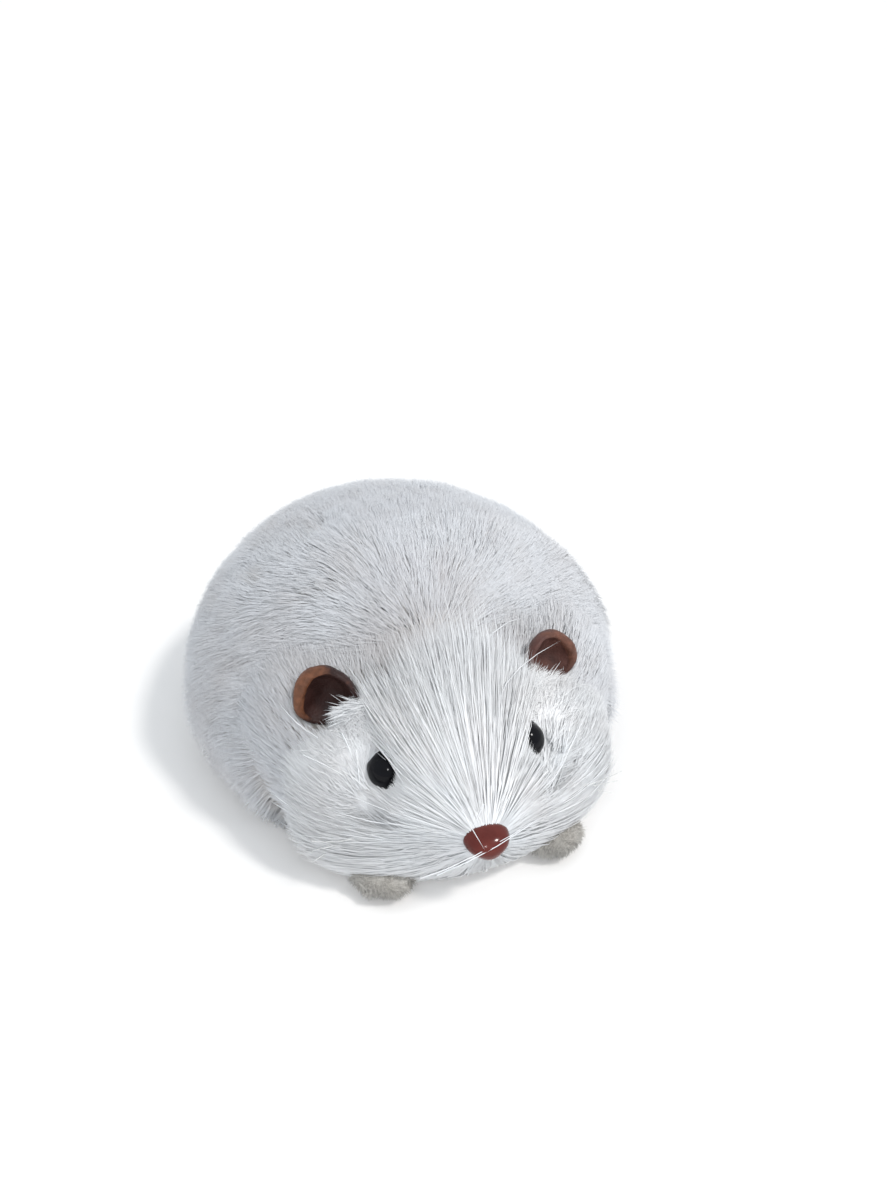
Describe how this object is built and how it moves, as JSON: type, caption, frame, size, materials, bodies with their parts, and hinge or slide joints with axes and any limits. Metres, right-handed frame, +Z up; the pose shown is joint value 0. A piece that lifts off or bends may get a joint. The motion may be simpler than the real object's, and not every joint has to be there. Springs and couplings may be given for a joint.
{
  "type": "clockwork mouse",
  "caption": "Fur-covered wind-up mouse with a bristle face, cupped leather ears, wheels under a tin base and a winding key on its left side.",
  "frame": {"origin": "on the floor, under the middle of the overall box from nose tip to tail tip", "axes": "-Y is the way the mouse faces and drives, +X is its own left side, where the key is, and +Z is up"},
  "size_m": [0.106, 0.164, 0.0556],
  "materials": {
    "fur": "dense short white pile, matt",
    "face_bristle": "long straight bright white bristle, slightly glossy",
    "plush": "light grey short-pile plush",
    "leather": "cup of brown leather, tan at the cut edge, satin",
    "eye_black": "glossy black dome",
    "nose_brown": "glossy red-brown",
    "nylon": "translucent white monofilament",
    "wood": "plain turned wood, unfinished",
    "tinplate": "tinned sheet, lightly scuffed",
    "shell_paint": "pressed sheet, grey primer",
    "brass": "stamped brass, lightly tarnished",
    "steel": "turned bright steel",
    "blued_spring": "blued spring steel",
    "rubber": "black moulded rubber, matt"
  },
  "bodies": {
    "body": {"base_plate": "tinplate", "base_screw_front_left": "steel", "base_screw_front_right": "steel", "base_screw_rear_left": "steel", "base_screw_rear_right": "steel", "body_fur": "fur", "body_shell": "shell_paint", "ear_left": "leather", "ear_right": "leather", "eye_left": "eye_black", "eye_right": "eye_black", "face_fur_cheek_left": "face_bristle", "face_fur_cheek_right": "face_bristle", "face_fur_forehead": "face_bristle", "frame_plate_left": "brass", "frame_plate_right": "brass", "front_paw_left": "plush", "front_paw_right": "plush", "head_core": "wood", "head_screw": "steel", "key_bush": "brass", "mainspring": "blued_spring", "nose": "nose_brown", "pillar_front": "steel", "pillar_middle": "steel", "pillar_rear": "steel", "pillar_spring": "steel", "tail": "leather", "tail_rivet": "brass", "whisker_lower": "nylon", "whisker_middle": "nylon", "whisker_upper": "nylon"},
    "great_wheel": {"great_wheel": "brass", "click_rivet": "steel", "click_spring_rivet": "steel", "click_spring": "blued_spring"},
    "key": {"winding_arbor": "steel", "ratchet_wheel": "brass", "key": "brass"},
    "click": {"click": "steel"},
    "intermediate": {"intermediate_arbor": "steel", "intermediate_pinion": "steel", "intermediate_wheel": "brass"},
    "drive_axle": {"drive_axle": "steel", "drive_pinion": "steel", "wheel_hub_left": "tinplate", "wheel_hub_right": "tinplate", "tyre_left": "rubber", "tyre_right": "rubber"},
    "roller": {"roller_axle": "steel", "rear_roller": "rubber"}
  },
  "joints": [
    {"name": "great_wheel_spin", "type": "hinge", "parent": "body", "child": "great_wheel", "pos_m": [0.0018, -0.001, 0.02], "axis": [1, 0, 0], "continuous": true, "deforming": ["mainspring"]},
    {"name": "key_wind", "type": "hinge", "parent": "great_wheel", "child": "key", "pos_m": [0.0036, -0.001, 0.02], "axis": [-1, 0, 0], "range_deg": [0, 1440], "deforming": ["mainspring"]},
    {"name": "click_pivot", "type": "hinge", "parent": "great_wheel", "child": "click", "pos_m": [0.0035, -0.0075, 0.0262], "axis": [1, 0, 0], "range_deg": [-8, 0]},
    {"name": "intermediate_spin", "type": "hinge", "parent": "body", "child": "intermediate", "pos_m": [0, -0.016, 0.02], "axis": [1, 0, 0], "continuous": true},
    {"name": "drive_axle_spin", "type": "hinge", "parent": "body", "child": "drive_axle", "pos_m": [0, -0.028, 0.011], "axis": [1, 0, 0], "continuous": true},
    {"name": "roller_spin", "type": "hinge", "parent": "body", "child": "roller", "pos_m": [0, 0.022, 0.0085], "axis": [1, 0, 0], "continuous": true}
  ],
  "couplings": [
    {"joint": "intermediate_spin", "follows": "great_wheel_spin", "ratio": -4},
    {"joint": "drive_axle_spin", "follows": "great_wheel_spin", "ratio": 16}
  ]
}
